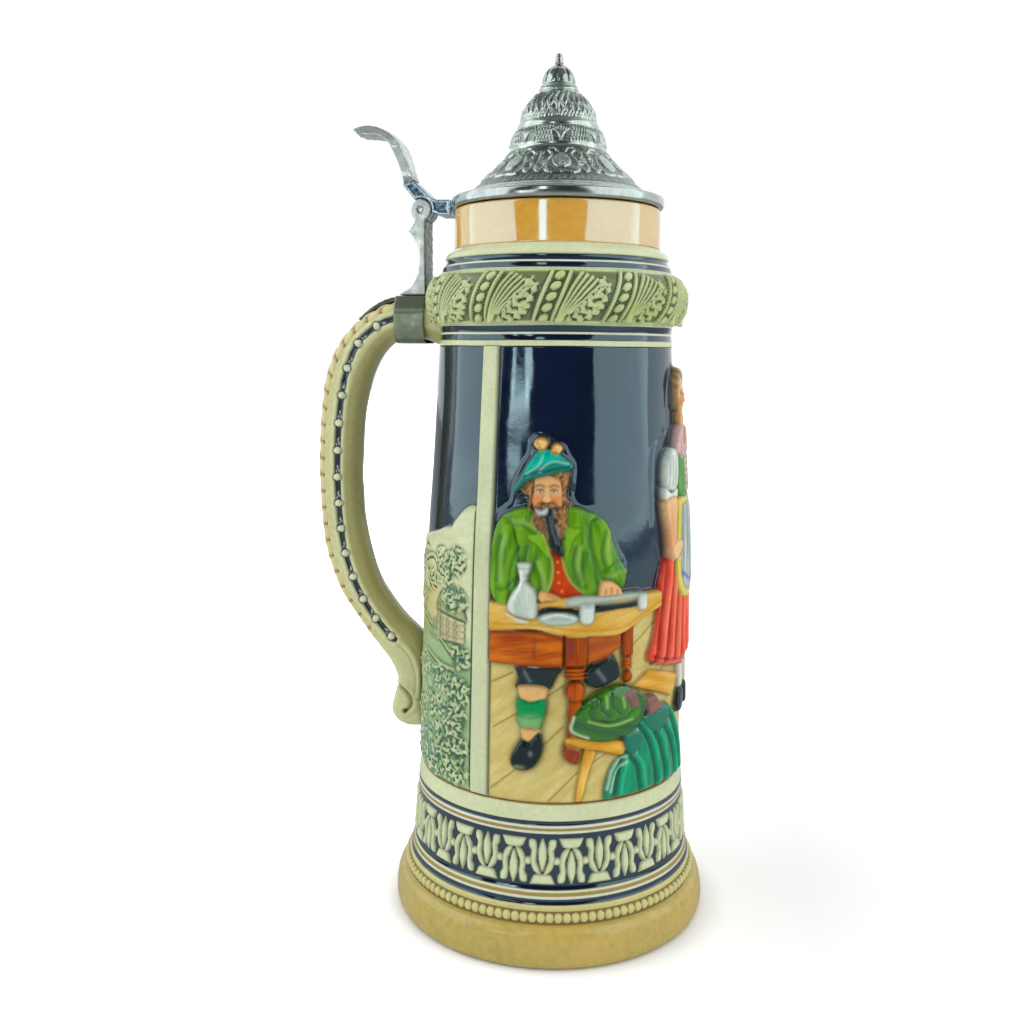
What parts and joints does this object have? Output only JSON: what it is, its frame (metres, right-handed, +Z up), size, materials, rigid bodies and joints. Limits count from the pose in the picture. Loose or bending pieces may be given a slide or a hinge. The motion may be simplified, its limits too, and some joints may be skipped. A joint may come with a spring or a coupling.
{
  "type": "lidded beer stein",
  "caption": "Tall tapering stoneware drinking stein with a curved side handle, moulded relief bands and a conical pewter lid that swings back on a hinge above the handle.",
  "frame": {"origin": "centre of the flat underside that the stein stands on", "axes": "+Z up along the mug's axis, handle towards -X, hinge pin along Y"},
  "size_m": [0.1761, 0.1396, 0.371],
  "materials": {
    "glazed_stoneware": "glossy dark blue glaze with painted relief",
    "cream_stoneware": "glossy cream glaze",
    "aged_pewter": "cast pewter with dark patina in the recesses",
    "polished_pewter": "polished pewter",
    "pin_steel": "plain drawn wire"
  },
  "bodies": {
    "mug": {"stoneware_body": "glazed_stoneware", "handle": "cream_stoneware", "strap_collar": "aged_pewter", "handle_tang": "aged_pewter", "hinge_post": "aged_pewter", "hinge_pin": "pin_steel"},
    "lid": {"lid_arm": "polished_pewter", "lid_flange": "polished_pewter", "lid_cone": "aged_pewter", "lid_finial": "aged_pewter", "thumb_lift": "aged_pewter"}
  },
  "joints": [
    {"name": "lid_hinge", "type": "hinge", "parent": "mug", "child": "lid", "pos_m": [-0.0582, 0, 0.3078], "axis": [0, -1, 0], "range_deg": [0, 98]}
  ]
}
